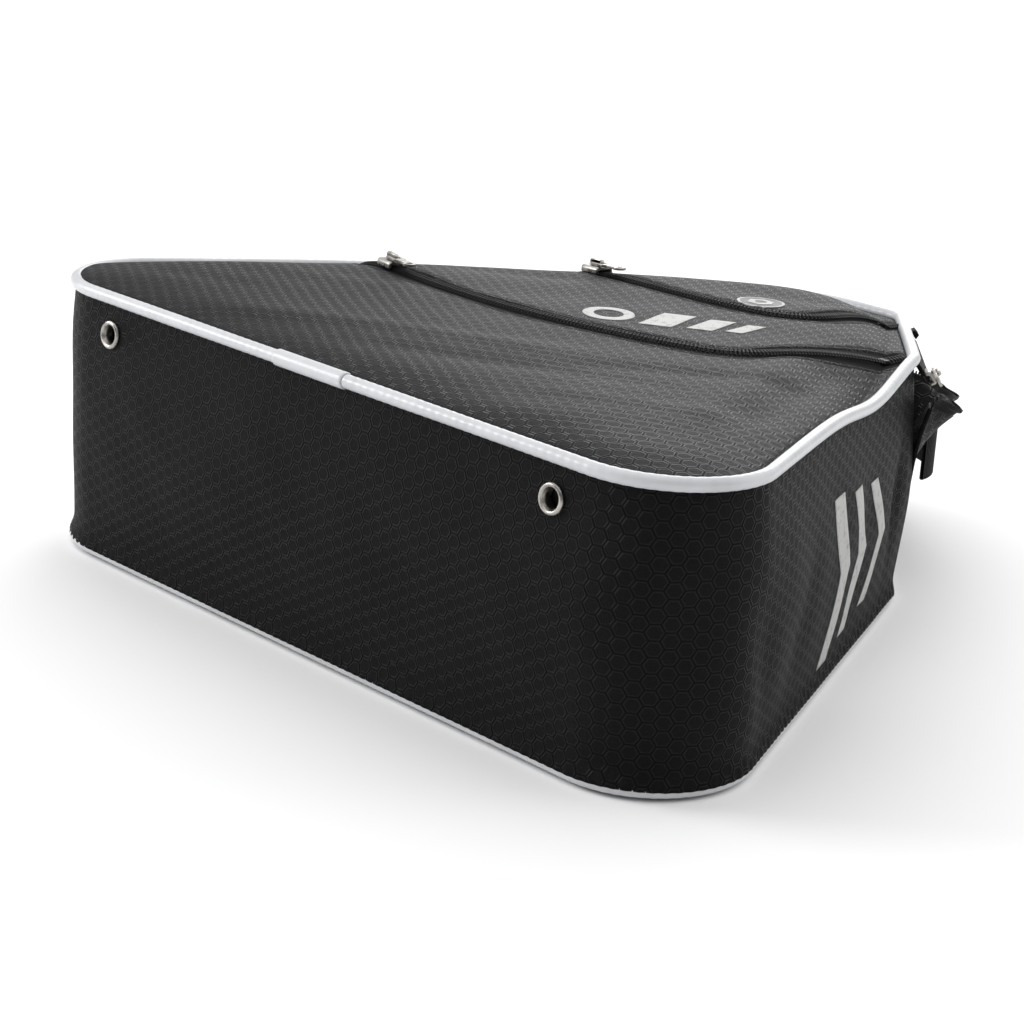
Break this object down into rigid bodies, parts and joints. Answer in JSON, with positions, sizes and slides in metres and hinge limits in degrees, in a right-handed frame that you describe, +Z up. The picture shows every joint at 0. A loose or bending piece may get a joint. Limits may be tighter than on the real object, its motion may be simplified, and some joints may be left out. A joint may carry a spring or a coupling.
{
  "type": "skate bag",
  "caption": "Soft six-sided ice skate bag lying on its back, wide base narrowing to an open zip mouth, silver piping, two curved front pocket zips.",
  "frame": {"origin": "middle of the footprint, on the surface that the bag's back panel lies on", "axes": "+X along the wide base, to the right as seen from the base; +Y from the base to the crown and mouth; +Z up through the front face"},
  "size_m": [0.3574, 0.3446, 0.1203],
  "materials": {
    "honeycomb_cloth": "black honeycomb jacquard polyester, semi-matt with a faint sheen",
    "lining_cloth": "plain woven grey lining",
    "piping_vinyl": "satin silver vinyl piping",
    "zip_tape": "black herringbone zip tape",
    "zip_coil": "black nylon coil",
    "nickel": "bright nickel plate, lightly worn",
    "foam": "grey foam with cloth face",
    "board": "black plastic stiffener board",
    "webbing": "black woven webbing",
    "silver_print": "flat silver-grey ink printed on the cloth"
  },
  "bodies": {
    "case": {"front_lower_panel": "honeycomb_cloth", "front_band_panel": "honeycomb_cloth", "front_upper_panel": "honeycomb_cloth", "body_gusset": "honeycomb_cloth", "zip_gusset_front": "honeycomb_cloth", "zip_gusset_rear": "honeycomb_cloth", "back_panel": "honeycomb_cloth", "lower_pocket_liner": "lining_cloth", "upper_pocket_liner": "lining_cloth", "front_piping": "piping_vinyl", "front_piping_sleeve": "piping_vinyl", "back_piping": "piping_vinyl", "back_piping_sleeve": "piping_vinyl", "lower_zip_tape_near": "zip_tape", "lower_zip_tape_far": "zip_tape", "upper_zip_tape_near": "zip_tape", "upper_zip_tape_far": "zip_tape", "main_zip_tape_front": "zip_tape", "main_zip_tape_rear": "zip_tape", "lower_zip_coil": "zip_coil", "upper_zip_coil": "zip_coil", "main_zip_coil_front": "zip_coil", "main_zip_coil_rear": "zip_coil", "lower_zip_stop_left": "nickel", "lower_zip_stop_right": "nickel", "upper_zip_stop_left": "nickel", "upper_zip_stop_right": "nickel", "eyelet_right": "nickel", "eyelet_left": "nickel", "eyelet_washer_right": "nickel", "eyelet_washer_left": "nickel", "back_pad": "foam", "base_board": "board", "handle_anchor_right": "webbing", "handle_anchor_left": "webbing", "seam_tab": "webbing"},
    "main_slider": {"main_zip_slider": "nickel"},
    "main_pull": {"main_zip_pull": "nickel"},
    "lower_slider": {"lower_zip_slider": "nickel"},
    "lower_pull": {"lower_zip_pull": "nickel"},
    "upper_slider": {"upper_zip_slider": "nickel"},
    "upper_pull": {"upper_zip_pull": "nickel"},
    "handle": {"carry_handle": "webbing"}
  },
  "joints": [
    {"name": "main_slider_travel", "type": "slide", "parent": "case", "child": "main_slider", "axis": [-0.6463, 0.7591, -0.0779], "range_m": [0, 0.075]},
    {"name": "main_pull_swing", "type": "hinge", "parent": "main_slider", "child": "main_pull", "pos_m": [0.09119, 0.08022, 0.09517], "axis": [-0.4668, -0.3125, 0.8273], "range_deg": [0, 165]},
    {"name": "lower_slider_travel", "type": "hinge", "parent": "case", "child": "lower_slider", "pos_m": [-0.04, 0.20939, 0.10653], "axis": [-0.0043, 0.031, 0.9995], "range_deg": [0, 33]},
    {"name": "lower_pull_swing", "type": "hinge", "parent": "lower_slider", "child": "lower_pull", "pos_m": [-0.10202, -0.04298, 0.11824], "axis": [-0.2384, -0.9707, 0.0291], "range_deg": [0, 165]},
    {"name": "upper_slider_travel", "type": "hinge", "parent": "case", "child": "upper_slider", "pos_m": [-0.03, 0.29739, 0.10389], "axis": [-0.0551, 0.0309, 0.998], "range_deg": [0, 11.5]},
    {"name": "upper_pull_swing", "type": "hinge", "parent": "upper_slider", "child": "upper_pull", "pos_m": [-0.06223, 0.03949, 0.11427], "axis": [-0.123, -0.9921, 0.024], "range_deg": [0, 165]},
    {"name": "handle_swing", "type": "hinge", "parent": "case", "child": "handle", "pos_m": [0, 0.14139, 0.038], "axis": [1, 0, 0], "range_deg": [-45, 13]}
  ]
}
